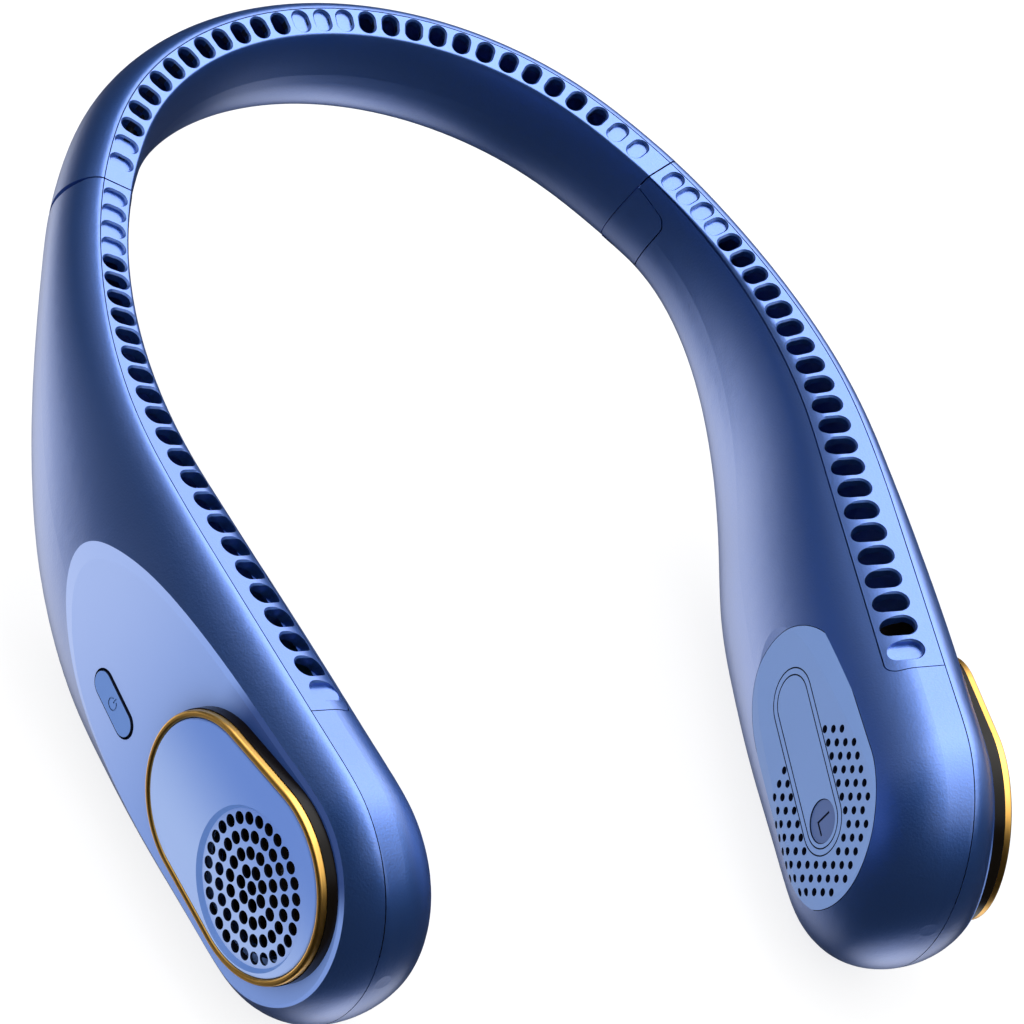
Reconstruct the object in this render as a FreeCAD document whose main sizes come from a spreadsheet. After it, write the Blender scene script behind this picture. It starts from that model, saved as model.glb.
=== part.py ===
# Electric neck fan: a hinged U worn round the neck, with a centrifugal fan in each arm.
# Millimetres. +Z up, open ends toward -Y, wearer's left on +X, standing on Z = 0.
# Left pieces are modelled on +X and the right ones are their mirror images.
import FreeCAD, Part
import math
import os

import Sketcher
from FreeCAD import Placement, Rotation, Vector

doc = FreeCAD.newDocument("neck_fan")
sheet = doc.addObject("Spreadsheet::Sheet", "dims")

DIMENSIONS = {
    # centre line of the vent strip in plan, measured as a run from the middle of the neck
    "neck_radius": 60.0,
    "neck_turn": 56.0,
    "arm_radius": 118.0,
    "arm_turn": 43.0,
    "seam_run": 76.2,
    "seam_tilt": 11.5,
    "fan_run": 220.0,
    "tip_length": 26.0,
    # cross-sections of the body at the neck and at the fan
    "neck_height": 24.5,
    "fan_height": 57.5,
    "height_swell_start": 79.0,
    "height_swell_end": 163.0,
    "neck_outer": 9.7,
    "fan_outer": 20.8,
    "neck_inner": 4.2,
    "fan_inner": 13.8,
    "neck_flat": 2.7,
    "fan_flat": -1.1,
    "width_swell_start": 85.0,
    "width_swell_end": 196.0,
    "rest_flat": 0.4,
    # walls and joints of the shells
    "wall": 1.8,
    "parting_neck": 2.8,
    "parting_fan": 6.4,
    "parting_start": 88.0,
    "parting_end": 168.0,
    "parting_gap": 0.2,
    "seam_gap": 0.35,
    "overrun": 2.0,
    "cut_reach": 160.0,
    "fit_gap": 0.15,
    "seat_gap": 0.1,
    "running_gap": 0.03,
    # vent strip and slots
    "strip_tilt": 12.4,
    "strip_fall": 0.25,
    "strip_seam_inner": 2.8,
    "strip_end_inner": 3.8,
    "strip_end": 205.3,
    "strip_depth": 4.0,
    "strip_corner": 2.2,
    "strip_gap": 0.2,
    "neck_pitch_middle": 4.75,
    "neck_pitch_seam": 5.3,
    "arm_first_slot": 79.9,
    "arm_pitch_seam": 4.35,
    "arm_pitch_end": 5.8,
    "slot_shift": 0.1,
    "neck_slot_length": 4.5,
    "neck_slot_width": 3.1,
    "end_slot_length": 6.8,
    "end_slot_width": 4.2,
    "slot_bevel": 0.35,
    "blind_depth": 0.8,
    "end_blind_depth": 1.2,
    # flat facet on the outer face of each arm and its panel
    "facet_out": 14.75,
    "facet_drop": 25.4,
    "facet_lean": 5.1,
    "facet_yaw": 1.5,
    "facet_reach": 85.0,
    "panel_thickness": 0.55,
    "intake_radius": 14.6,
    # raised intake cap
    "cap_ahead": 0.43,
    "cap_up": 1.7,
    "cap_turn": -2.8,
    "cap_big_radius": 19.6,
    "cap_small_radius": 17.5,
    "cap_apart": 16.6,
    "gasket_inset": -0.2,
    "gasket_width": 2.4,
    "gasket_height": 2.3,
    "ring_width": 1.3,
    "ring_height": 1.5,
    "ring_edge": 0.5,
    "cap_thickness": 1.4,
    "cap_edge": 0.4,
    "cap_gap": 0.12,
    "dish_ahead": 0.6,
    "dish_down": 2.6,
    "dish_radius": 15.0,
    "dish_depth": 0.9,
    "dish_slope": 0.7,
    "hole_ring_step": 3.15,
    "hole_middle_radius": 1.32,
    "hole_shrink": 0.03,
    # flat perforated pad on the inner face of each arm
    "pad_run": 211.5,
    "pad_in": 11.5,
    "pad_drop": 24.8,
    "pad_lean": 7.6,
    "pad_yaw": 2.4,
    "pad_reach": 50.0,
    "pad_big_radius": 18.4,
    "pad_small_radius": 15.6,
    "pad_apart": 22.4,
    "pad_thickness": 1.2,
    "pad_big_ahead": 7.3,
    "pad_big_low": 1.9,
    "pad_turn": 7.0,
    "pad_window_radius": 11.5,
    "perforation_pitch": 2.94,
    "perforation_step": 2.47,
    "perforation_radius": 0.78,
    "inlay_radius": 6.3,
    "inlay_width": 1.05,
    "inlay_gap": 0.28,
    "inlay_depth": 0.5,
    "inlay_apart": 26.2,
    "inlay_ahead": 2.35,
    "disc_radius": 4.1,
    "disc_depth": 0.45,
    "mark_height": 4.2,
    "mark_width": 3.1,
    "mark_stroke": 0.45,
    "mark_ahead": 0.7,
    "mark_up": 0.35,
    "mark_depth": 0.2,
    # hinge between neck and arm
    "hinge_out": 5.4,
    "hinge_drop": 12.0,
    "pin_radius": 0.8,
    "knuckle_radius": 1.7,
    "knuckle_height": 3.3,
    "knuckle_gap": 0.3,
    "leaf_thickness": 1.2,
    "seam_reach": 14.0,
    "leaf_reach": 10.5,
    "leaf_clear": 3.2,
    "leaf_height": 7.0,
    "boss_height": 5.0,
    "boss_start": 4.5,
    "boss_end": 10.0,
    "open_angle": 15.0,
    "open_margin": 2.0,
    # cover flap over the hinge on the inner face
    "flap_length": 9.5,
    "flap_top": 4.3,
    "flap_bottom": 22.0,
    "flap_corner": 2.6,
    "flap_thickness": 0.9,
    "flap_gap": 0.25,
    "flap_groove": 0.4,
    # fan housing, motor and impeller, measured inward from the facet
    "housing_front": 3.2,
    "housing_depth": 12.0,
    "housing_radius": 17.3,
    "housing_wall": 1.0,
    "outlet_length": 34.0,
    "outlet_low": 3.0,
    "motor_boss_radius": 3.5,
    "motor_boss_height": 6.5,
    "bearing_radius": 2.5,
    "bearing_length": 6.0,
    "shaft_radius": 1.0,
    "shaft_length": 9.2,
    "stator_radius": 8.0,
    "stator_height": 4.0,
    "stator_lift": 1.5,
    "stator_yoke": 1.6,
    "stator_tooth": 1.8,
    "stator_shoe": 1.0,
    "magnet_wall": 0.7,
    "magnet_height": 5.2,
    "air_gap": 0.3,
    "hub_wall": 1.0,
    "hub_height": 8.2,
    "impeller_radius": 16.6,
    "impeller_lift": 1.3,
    "impeller_plate": 1.0,
    "impeller_height": 8.4,
    "blade_inner_radius": 11.6,
    "blade_thickness": 0.7,
    "blade_lean": 14.0,
    "shroud_width": 1.8,
    "shroud_height": 0.9,
    "post_radius": 2.0,
    "post_circle": 15.2,
    "screw_radius": 0.8,
    "screw_head_radius": 1.5,
    "screw_head_height": 0.9,
    "screw_length": 3.0,
    # battery cell in each arm
    "cell_radius": 6.5,
    "cell_length": 44.0,
    "cell_back": 62.0,
    "cell_out": -1.8,
    "cell_drop": 39.0,
    "cell_cap_radius": 2.6,
    "cell_cap_height": 1.0,
    "rib_thickness": 1.4,
    "rib_drop": 28.0,
    "rib_inset": 8.0,
    # power button, switch, control board and charging socket in the right arm
    "button_back": 48.6,
    "button_down": 8.95,
    "button_turn": 9.0,
    "button_apart": 8.3,
    "button_radius": 2.6,
    "button_gap": 0.45,
    "button_proud": 0.3,
    "button_flange": 0.9,
    "button_flange_height": 1.0,
    "button_play": 0.4,
    "button_travel": 0.6,
    "symbol_radius": 1.3,
    "symbol_stroke": 0.3,
    "symbol_depth": 0.15,
    "switch_reach": 0.2,
    "switch_stem_radius": 1.2,
    "switch_stem_height": 0.6,
    "switch_side": 5.0,
    "switch_height": 1.0,
    "board_length": 26.0,
    "board_width": 14.0,
    "board_thickness": 1.0,
    "board_post_radius": 1.5,
    "board_post_margin": 2.0,
    "socket_back": 45.0,
    "socket_out": 2.6,
    "socket_length": 8.94,
    "socket_width": 3.26,
    "socket_height": 7.3,
    "socket_shell": 0.3,
    "socket_sunk": 0.4,
    "tongue_width": 6.7,
    "tongue_thickness": 0.7,
    "socket_block_length": 13.0,
    "socket_block_width": 7.0,
    # wiring through the neck
    "wire_radius": 1.1,
    "wire_out": 3.0,
    "wire_drop": 19.3,
    "wire_end": 62.0,
    "wire_rib_drop": 16.5,
}
for row, (alias, value) in enumerate(DIMENSIONS.items(), start=1):
    sheet.set(f"A{row}", alias)
    sheet.set(f"B{row}", str(value))
    sheet.setAlias(f"B{row}", alias)
doc.recompute()

# shares that shape the cross-sections and counts of repeated features
neck_belly_share = 0.45
fan_belly_share = 0.55
shoulder_out_share = 0.27
shoulder_down_share = 0.38
brow_out_share = 0.47
brow_down_share = 0.43
bilge_down_share = 0.54
bilge_out_share = 0.59
tip_middle_share = 0.46
tip_side_power = 2.0
tip_plan_power = 2.3
tip_last_angle = 86.5
tip_sections = 8
arm_sections = 16
neck_sections = 16
neck_half_slots = 14
neck_blind_slots = (0, 1, 13, 14)
arm_slots = 25
arm_blind_slots = (0, 1, 2, 3, 24)
grille_rings = 4
holes_per_ring = 7
blade_count = 31
stator_teeth = 9
post_angles = (70, 180, 285)
# perforated rows each side of the pad axis, with their first and last place in pitches
perforation_rows = ((0, 4, 5), (1, 3.5, 5.5), (2, 3, 5), (3, -4.5, 4.5), (4, -4, 4), (5, -3.5, 3.5),
                    (6, -2, 2))
wire_rib_shares = (-0.8, -0.3, 0.3, 0.8)


def dim(alias):
    return sheet.get(alias)


def mix(first, last, share):
    return first + (last - first) * share


def smooth(value, start, end):
    share = min(max((value - start) / (end - start), 0), 1)
    return share * share * (3 - 2 * share)


# Centre line: an arc round the neck, a wider arc along the side and a straight arm
def plan(run):
    reach = abs(run)
    neck_turn = math.radians(dim("neck_turn"))
    arm_turn = math.radians(dim("arm_turn"))
    neck_arc = dim("neck_radius") * neck_turn
    arm_arc = dim("arm_radius") * arm_turn
    turn = min(reach, neck_arc) / dim("neck_radius")
    x = dim("neck_radius") * math.sin(turn)
    y = -dim("neck_radius") * (1 - math.cos(turn))
    if reach > neck_arc:
        further = min(reach - neck_arc, arm_arc) / dim("arm_radius")
        x += dim("arm_radius") * (math.sin(turn + further) - math.sin(turn))
        y -= dim("arm_radius") * (math.cos(turn) - math.cos(turn + further))
        turn += further
    straight = max(reach - neck_arc - arm_arc, 0)
    x += straight * math.cos(turn)
    y -= straight * math.sin(turn)
    return math.copysign(x, run), y, math.copysign(turn, run)


def keel_out():
    return (dim("fan_outer") - dim("fan_inner")) / 2


# Half-way between the back of the neck and the front of the tips
def middle_y():
    _, fan_y, turn = plan(dim("fan_run"))
    half_width = (dim("fan_outer") + dim("fan_inner")) / 2
    reach = math.hypot(dim("tip_length") * math.sin(turn), half_width * math.cos(turn))
    front = fan_y + keel_out() * math.cos(turn) - reach
    return (dim("neck_outer") + front) / 2


top_level = dim("fan_height") - dim("rest_flat")
plan_shift = middle_y()


def spot(run, out, drop):
    x, y, turn = plan(run)
    return Vector(x + out * math.sin(turn), y + out * math.cos(turn) - plan_shift, top_level - drop)


# Frame at a run: X along the strip toward the tip, Y outward, Z up
def frame_at(run):
    turn = plan(run)[2]
    return Placement(spot(run, 0, 0), Rotation(Vector(0, 0, 1), -math.degrees(turn)))


def turned(axis, angle):
    return Placement(Vector(), Rotation(axis, angle))


def shifted(x, y, z):
    return Placement(Vector(x, y, z), Rotation())


def placed(shape, frame):
    moved = shape.copy()
    moved.Placement = frame.multiply(moved.Placement)
    return moved


# strip frame: as the frame at a run, tilted with the top of the strip
def strip_frame(run):
    level = frame_at(run).multiply(shifted(0, 0, -dim("strip_fall")))
    return level.multiply(turned(Vector(1, 0, 0), dim("strip_tilt")))


# hinge frame: X across the leaning seam toward the tip, Y outward, Z along the pin
hinge_frame = frame_at(dim("seam_run")).multiply(turned(Vector(0, 1, 0), dim("seam_tilt")))
fan_frame = frame_at(dim("fan_run"))
# facet frame: X toward the tip, Y down the facet, Z out of it
facet_frame = fan_frame.multiply(shifted(0, dim("facet_out"), -dim("facet_drop")))
facet_frame = facet_frame.multiply(turned(Vector(0, 0, 1), -dim("facet_yaw")))
facet_frame = facet_frame.multiply(turned(Vector(1, 0, 0), dim("facet_lean") - 90))
cap_frame = facet_frame.multiply(shifted(dim("cap_ahead"), -dim("cap_up"), 0))
cap_frame = cap_frame.multiply(turned(Vector(0, 0, 1), dim("cap_turn")))
# pad frame: X toward the tip, Y up the pad, Z toward the neck
pad_frame = frame_at(dim("pad_run")).multiply(shifted(0, -dim("pad_in"), -dim("pad_drop")))
pad_frame = pad_frame.multiply(turned(Vector(0, 0, 1), dim("pad_yaw")))
pad_frame = pad_frame.multiply(turned(Vector(1, 0, 0), 90 - dim("pad_lean")))
# plate frame: the pad frame moved to the large end of the plate and turned along its axis
plate_frame = pad_frame.multiply(shifted(dim("pad_big_ahead"), -dim("pad_big_low"), 0))
plate_frame = plate_frame.multiply(turned(Vector(0, 0, 1), -dim("pad_turn")))
button_frame = facet_frame.multiply(shifted(-dim("button_back"), dim("button_down"), 0))
button_frame = button_frame.multiply(turned(Vector(0, 0, 1), dim("button_turn")))


def parting(run):
    share = smooth(abs(run), dim("parting_start"), dim("parting_end"))
    return mix(dim("parting_neck"), dim("parting_fan"), share)


def bezier(points):
    curve = Part.BezierCurve()
    curve.setPoles(points)
    return curve.toShape()


# Level of the strip's inward-leaning top
def crest(out):
    return dim("strip_fall") - out * math.tan(math.radians(dim("strip_tilt")))


# Cross-section: leaning top, rounded shoulder and brow, belly and keel, shrunk toward the tip
def section(run, inset):
    reach = abs(run)
    spread = smooth(reach, dim("width_swell_start"), dim("width_swell_end"))
    swell = smooth(reach, dim("height_swell_start"), dim("height_swell_end"))
    height = mix(dim("neck_height"), dim("fan_height"), swell)
    outer = mix(dim("neck_outer"), dim("fan_outer"), spread) - inset
    inner = mix(dim("neck_inner"), dim("fan_inner"), spread) - inset
    edge = parting(reach) - inset / 2
    brow = mix(dim("neck_flat"), dim("fan_flat"), spread) - inset
    belly = height * mix(neck_belly_share, fan_belly_share, spread)
    keel = (outer - inner) / 2
    bottom = height - inset
    up = bottom - belly
    inner_top = crest(-brow) + inset
    outer_top = crest(edge) + inset
    shoulder = mix(edge, outer, shoulder_out_share)
    forehead = mix(-brow, -inner, brow_out_share)
    outline = [
        [(-brow, inner_top), (edge, outer_top)],
        [(edge, outer_top), (shoulder, crest(shoulder) + inset),
         (outer, mix(outer_top, belly, shoulder_down_share)), (outer, belly)],
        [(outer, belly), (outer, belly + up * bilge_down_share),
         (mix(keel, outer, bilge_out_share), bottom), (keel, bottom)],
        [(keel, bottom), (mix(keel, -inner, bilge_out_share), bottom),
         (-inner, belly + up * bilge_down_share), (-inner, belly)],
        [(-inner, belly), (-inner, mix(inner_top, belly, brow_down_share)),
         (forehead, crest(forehead) + inset), (-brow, inner_top)],
    ]
    ahead = (reach - dim("fan_run")) / (dim("tip_length") - inset)
    side = plan_width = 1
    if ahead > 0:
        side = (1 - ahead ** tip_side_power) ** (1 / tip_side_power)
        plan_width = (1 - ahead ** tip_plan_power) ** (1 / tip_plan_power)
    middle = height * tip_middle_share
    edges = []
    for stretch in outline:
        points = [spot(run, mix(keel, out, plan_width), mix(middle, drop, side)) for out, drop in stretch]
        edges.append(bezier(points))
    return Part.Wire(edges)


def steps(start, end, count):
    return [mix(start, end, index / count) for index in range(count + 1)]


def arm_stock(start, inset):
    runs = steps(start, dim("fan_run"), arm_sections)
    reach = dim("tip_length") - inset
    for angle in steps(0, tip_last_angle, tip_sections)[1:]:
        runs.append(dim("fan_run") + reach * math.sin(math.radians(angle)))
    return Part.makeLoft([section(run, inset) for run in runs], True, False)


def neck_stock(end, inset):
    return Part.makeLoft([section(run, inset) for run in steps(-end, end, neck_sections)], True, False)


def block(frame, corner, size):
    return placed(Part.makeBox(*size, Vector(*corner)), frame)


# Wide slab parallel to a frame's XY plane, from one level to another
def slab(frame, reach, low, high):
    return block(frame, (-reach, -reach, low), (2 * reach, 2 * reach, high - low))


def facet_slab(low, high):
    return slab(facet_frame, dim("facet_reach"), low, high)


def pad_slab(low, high):
    return slab(pad_frame, dim("pad_reach"), low, high)


def spline(points):
    curve = Part.BSplineCurve()
    curve.interpolate(points)
    return curve.toShape()


def lifted(face, low, high):
    raised = face.copy()
    raised.translate(Vector(0, 0, low))
    return raised.extrude(Vector(0, 0, high - low))


# Upright curtain along the parting line, filled on its outer side
def outer_side(runs, gap):
    inside = [spot(run, parting(run) + gap, top_level) for run in runs]
    far = [spot(run, dim("cut_reach"), top_level) for run in (runs[-1], runs[len(runs) // 2], runs[0])]
    edges = [spline(inside)]
    corners = [inside[-1]] + far + [inside[0]]
    for first, second in zip(corners, corners[1:]):
        edges.append(Part.makeLine(first, second))
    face = Part.Face(Part.Wire(edges))
    return lifted(face, -dim("overrun"), top_level + dim("overrun"))


# Two circles and their common tangents, the large one at the frame's origin
def egg(big, small, apart):
    lean = math.acos((small - big) / apart)
    corner = Vector(math.cos(lean), math.sin(lean), 0)
    mirror = Vector(corner.x, -corner.y, 0)
    back = Vector(-apart, 0, 0)
    edges = [
        Part.Arc(mirror * big, Vector(big, 0, 0), corner * big).toShape(),
        Part.makeLine(corner * big, back + corner * small),
        Part.Arc(back + corner * small, back - Vector(small, 0, 0), back + mirror * small).toShape(),
        Part.makeLine(back + mirror * small, mirror * big),
    ]
    return Part.Face(Part.Wire(edges))


def stadium(length, width):
    face = egg(width / 2, width / 2, length - width)
    face.translate(Vector((length - width) / 2, 0, 0))
    return face


def cap_face(inset):
    return egg(dim("cap_big_radius") - inset, dim("cap_small_radius") - inset, dim("cap_apart"))


def rounded(solid, radius, level):
    edges = [edge for edge in solid.Edges if abs(edge.BoundBox.ZMin - level) < dim("running_gap")
             and abs(edge.BoundBox.ZMax - level) < dim("running_gap")]
    return solid.makeFillet(radius, edges)


def pegs(frame, places, radius, low, high):
    return [placed(Part.makeCylinder(radius, high - low, Vector(x, y, low)), frame) for x, y in places]


solids = {}


def add_solid(label, shape, frame=Placement()):
    feature = doc.addObject("Part::Feature", label)
    feature.Shape = shape
    feature.Placement = frame
    return feature


def keep(label, feature):
    feature.Label = label
    solids[label] = feature
    return feature


def mirrored(label, feature):
    image = doc.addObject("Part::Mirroring", label)
    image.Source = feature
    image.Normal = Vector(1, 0, 0)
    return keep(label, image)


def pair(name, feature):
    keep("left_" + name, feature)
    mirrored("right_" + name, feature)


# Slots: stadium cutters across the strip, bevelled at the top, sunk or cut right through
def slot_cutter(run, length, width, depth):
    bevel = dim("slot_bevel")
    face = stadium(length, width)
    shaft = lifted(face, -depth, dim("overrun"))
    mouth_low = stadium(length, width)
    mouth_low.translate(Vector(0, 0, -bevel))
    mouth_high = stadium(length + 4 * bevel, width + 4 * bevel)
    mouth_high.translate(Vector(0, 0, bevel))
    mouth = Part.makeLoft([mouth_low.OuterWire, mouth_high.OuterWire], True, True)
    frame = strip_frame(run).multiply(shifted(0, dim("slot_shift"), 0)).multiply(turned(Vector(0, 0, 1), 90))
    return [placed(shaft, frame), placed(mouth, frame)]


def neck_slots():
    cutters = []
    run = 0
    for index in range(neck_half_slots + 1):
        depth = dim("blind_depth") if index in neck_blind_slots else dim("strip_depth")
        for side in sorted({run, -run}):
            cutters += slot_cutter(side, dim("neck_slot_length"), dim("neck_slot_width"), depth)
        run += mix(dim("neck_pitch_middle"), dim("neck_pitch_seam"), index / neck_half_slots)
    return cutters


def arm_slots_cut():
    cutters = []
    run = dim("arm_first_slot")
    for index in range(arm_slots):
        share = smooth(index, 0, arm_slots - 1)
        depth = dim("blind_depth") if index in arm_blind_slots else dim("strip_depth")
        if index == arm_slots - 1:
            depth = dim("end_blind_depth")
        length = mix(dim("neck_slot_length"), dim("end_slot_length"), share)
        width = mix(dim("neck_slot_width"), dim("end_slot_width"), share)
        cutters += slot_cutter(run, length, width, depth)
        run += mix(dim("arm_pitch_seam"), dim("arm_pitch_end"), share)
    return cutters


# Neck band: an outer and an inner shell with the wiring and the hinge seats
def hinge_boss(frame, start, end, leaf_face):
    low = -dim("hinge_drop") - dim("boss_height") / 2
    return block(frame, (start, -dim("cut_reach"), low), (end - start, dim("cut_reach") + leaf_face,
                                                         dim("boss_height")))


leaf_face = dim("hinge_out") - dim("leaf_thickness") / 2
seam = dim("seam_run")
neck_runs = steps(-seam - dim("seam_reach"), seam + dim("seam_reach"), neck_sections)
arm_end = dim("fan_run") + dim("tip_length") + dim("seam_reach")
arm_runs = steps(seam - dim("seam_reach"), arm_end, arm_sections)


def half_turn(shape):
    return shape.mirror(Vector(), Vector(1, 0, 0))


# Everything on one side of the seam, from one distance to another along the hinge frame's X
def seam_block(start, end):
    reach = 2 * dim("fan_outer")
    return block(hinge_frame, (start, -reach, -reach), (end - start, 2 * reach, 2 * reach))


def build_neck():
    beyond = seam_block(0, dim("seam_reach"))
    body = neck_stock(seam + dim("overrun"), 0).cut(beyond).cut(half_turn(beyond))
    hollow = neck_stock(seam + 2 * dim("overrun"), dim("wall"))
    seat = hollow.common(hinge_boss(hinge_frame, -dim("boss_end"), -dim("boss_start"), leaf_face))
    ribs = []
    wire_place = (0, dim("wire_out"), -dim("wire_drop"))
    for share in wire_rib_shares:
        frame = frame_at(share * dim("wire_end"))
        low = -dim("neck_height") - dim("overrun")
        rib = block(frame, (0, -dim("cut_reach"), low), (dim("rib_thickness"), 2 * dim("cut_reach"),
                                                         -dim("wire_rib_drop") - low))
        bore = Part.makeCylinder(dim("wire_radius") + dim("fit_gap"), 3 * dim("rib_thickness"),
                                 Vector(*wire_place) - Vector(dim("rib_thickness"), 0, 0), Vector(1, 0, 0))
        ribs.append(rib.cut(placed(bore, frame)))
    outer_region = outer_side(neck_runs, dim("parting_gap") / 2)
    inner_region = outer_side(neck_runs, -dim("parting_gap") / 2)
    keep("neck_outer_shell", add_solid("neck_outer_shell", body.common(outer_region).cut(hollow)))
    inner = body.cut(inner_region).cut(hollow.cut(Part.makeCompound(ribs)))
    inner = inner.multiFuse([seat, half_turn(seat)])
    keep("neck_inner_shell", add_solid("neck_inner_shell", inner.cut(Part.makeCompound(neck_slots()))))


def wire_path(out, drop, end):
    neck_arc = dim("neck_radius") * math.radians(dim("neck_turn"))
    runs = (-end, -neck_arc, 0, neck_arc, end)
    points = [spot(run, out, drop) for run in runs]
    middles = [spot((first + second) / 2, out, drop) for first, second in zip(runs, runs[1:])]
    bends = zip(points, middles, points[1:])
    return Part.Wire([Part.Arc(first, middle, last).toShape() for first, middle, last in bends])


def build_wiring():
    route = wire_path(dim("wire_out"), dim("wire_drop"), dim("wire_end"))
    frame = frame_at(-dim("wire_end"))
    start = spot(-dim("wire_end"), dim("wire_out"), dim("wire_drop"))
    along = frame.Rotation.multVec(Vector(1, 0, 0))
    ring = Part.Wire(Part.makeCircle(dim("wire_radius"), start, along))
    keep("neck_wiring", add_solid("neck_wiring", route.makePipeShell([ring], True, False)))


# Hinge: two knuckles on the neck, one on the arm, a steel pin through all three
def box(name, sizes, place, frame):
    part = doc.addObject("Part::Box", name)
    for axis, size in zip(("Length", "Width", "Height"), sizes):
        part.setExpression(axis, size)
    part.Placement = frame.multiply(place)
    return part


def cylinder(name, radius, height, place, frame):
    part = doc.addObject("Part::Cylinder", name)
    part.setExpression("Radius", radius)
    part.setExpression("Height", height)
    part.Placement = frame.multiply(place)
    return part


def fuse(name, parts):
    joined = doc.addObject("Part::MultiFuse", name)
    joined.Shapes = parts
    return joined


def cut(name, base, tool):
    result = doc.addObject("Part::Cut", name)
    result.Base = base
    result.Tool = tool
    return result


def build_hinge():
    level = -dim("hinge_drop") - dim("knuckle_height") / 2
    rise = dim("knuckle_height") + dim("knuckle_gap")
    axis = (dim("seam_gap") / 2, dim("hinge_out"))
    thick = "dims.leaf_thickness"
    tall = "dims.knuckle_height"
    reach = "dims.leaf_reach - dims.seam_gap / 2"
    plate_low = -dim("hinge_drop") - dim("leaf_height") / 2
    plate = ("dims.leaf_reach - dims.leaf_clear", thick, "dims.leaf_height")
    bore_radius = "dims.pin_radius + dims.running_gap"
    stack = "3 * dims.knuckle_height + 2 * dims.knuckle_gap"

    def barrel(name, low):
        return cylinder(name, "dims.knuckle_radius", tall, shifted(*axis, low), hinge_frame)

    def bore(name, radius):
        return cylinder(name, radius, stack, shifted(*axis, level - rise), hinge_frame)

    arm_web = box("arm_leaf_web", (reach, thick, tall), shifted(axis[0], leaf_face, level), hinge_frame)
    arm_plate = box("arm_leaf_plate", plate, shifted(dim("leaf_clear"), leaf_face, plate_low), hinge_frame)
    arm_leaf = fuse("arm_leaf_solid", [barrel("arm_knuckle", level), arm_web, arm_plate])
    pair("arm_hinge_leaf", cut("arm_leaf", arm_leaf, bore("arm_leaf_bore", bore_radius)))

    neck_parts = []
    for name, low in (("low", level - rise), ("high", level + rise)):
        start = shifted(-2 * dim("leaf_clear"), leaf_face, low)
        neck_parts.append(barrel("neck_knuckle_" + name, low))
        web_length = "2 * dims.leaf_clear + dims.seam_gap / 2"
        neck_parts.append(box("neck_leaf_web_" + name, (web_length, thick, tall), start, hinge_frame))
    plate_start = shifted(-dim("leaf_reach"), leaf_face, plate_low)
    neck_parts.append(box("neck_leaf_plate", plate, plate_start, hinge_frame))
    neck_leaf = fuse("neck_leaf_solid", neck_parts)
    pair("neck_hinge_leaf", cut("neck_leaf", neck_leaf, bore("neck_leaf_bore", "dims.pin_radius")))
    pair("hinge_pin", bore("hinge_pin_rod", "dims.pin_radius"))


# Flap: a thin plate of the neck that lies in a recess of the arm and covers the opening seam
def flap_prism(grow, start):
    length = dim("flap_length") + grow
    low = -dim("flap_bottom") - grow
    height = dim("flap_bottom") - dim("flap_top") + 2 * grow
    corner = Vector(start, -dim("cut_reach"), low)
    solid = Part.makeBox(length - start, dim("cut_reach") + grow, height, corner)
    corners = [edge for edge in solid.Edges if abs(edge.BoundBox.XMin - length) < dim("running_gap")
               and edge.BoundBox.YLength > dim("cut_reach") / 2]
    return placed(solid.makeFillet(dim("flap_corner"), corners), hinge_frame)


def flap_stock(inset):
    runs = steps(seam - dim("seam_reach"), seam + dim("seam_reach"), tip_sections)
    return Part.makeLoft([section(run, inset) for run in runs], True, False)


def build_flap():
    plate = flap_stock(0).common(flap_prism(0, 0))
    keep_side = plate.cut(flap_stock(dim("flap_thickness")))
    groove = seam_block(0, dim("flap_gap")).cut(flap_stock(dim("flap_groove")))
    keep_side = keep_side.cut(groove)
    pair("hinge_flap", add_solid("hinge_flap", keep_side))


# Arm shells
def strip_prism(grow):
    start = seam - dim("overrun")
    end = dim("strip_end") + grow
    runs = steps(start, end, arm_sections)
    inner = []
    for run in runs:
        share = (run - start) / (end - start)
        width = mix(dim("strip_seam_inner"), dim("strip_end_inner"), share) + grow
        inner.append(spot(run, -width, top_level))
    outer = [spot(run, parting(run) + dim("wall"), top_level) for run in runs]
    edges = [spline(inner), Part.makeLine(inner[-1], outer[-1]), spline(outer[::-1]),
             Part.makeLine(outer[0], inner[0])]
    face = Part.Face(Part.Wire(edges))
    solid = lifted(face, top_level - dim("strip_depth"), top_level + dim("overrun"))
    middle = inner[-1] + Vector(0, 0, top_level - (dim("strip_depth") - dim("overrun")) / 2)
    corner = [edge for edge in solid.Edges if edge.BoundBox.Center.distanceToPoint(middle) < dim("seat_gap")]
    return solid.makeFillet(dim("strip_corner") + grow, corner)


def post_places():
    turns = [math.radians(angle) for angle in post_angles]
    return [(dim("post_circle") * math.cos(turn), dim("post_circle") * math.sin(turn)) for turn in turns]


def arm_posts():
    floor = -dim("housing_front") - dim("housing_depth")
    root = floor - dim("fan_outer") - dim("fan_inner")
    bores = pegs(facet_frame, post_places(), dim("screw_radius") + dim("seat_gap") / 2,
                 floor - dim("screw_length"), floor + dim("overrun"))
    posts = pegs(facet_frame, post_places(), dim("post_radius"), root, floor)
    return [post.cut(bore) for post, bore in zip(posts, bores)]


def cell_bore(radius, back, length):
    place = Vector(-back, dim("cell_out"), -dim("cell_drop"))
    return placed(Part.makeCylinder(radius, length, place, Vector(1, 0, 0)), fan_frame)


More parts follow.
